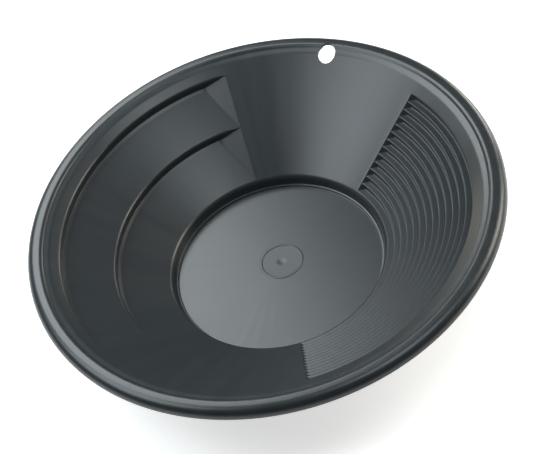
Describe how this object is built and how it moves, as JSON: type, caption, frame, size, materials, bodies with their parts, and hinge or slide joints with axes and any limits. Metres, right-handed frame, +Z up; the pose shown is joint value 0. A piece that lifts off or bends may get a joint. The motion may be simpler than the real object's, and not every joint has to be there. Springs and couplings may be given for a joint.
{
  "type": "gold pan",
  "caption": "Round moulded plastic gold pan with a drop bottom, a bank of fine riffles facing a bank of coarse riffles, a rolled rim and a hang hole.",
  "frame": {"origin": "centre of the underside, on the surface that the pan stands on", "axes": "+Z up out of the bowl, +Y towards the hang hole, -X towards the coarse riffles, +X towards the fine riffles"},
  "size_m": [0.381, 0.381, 0.077],
  "materials": {
    "pan": "satin, injection-moulded black polypropylene"
  },
  "bodies": {
    "root": {"pan": "pan"}
  },
  "joints": []
}
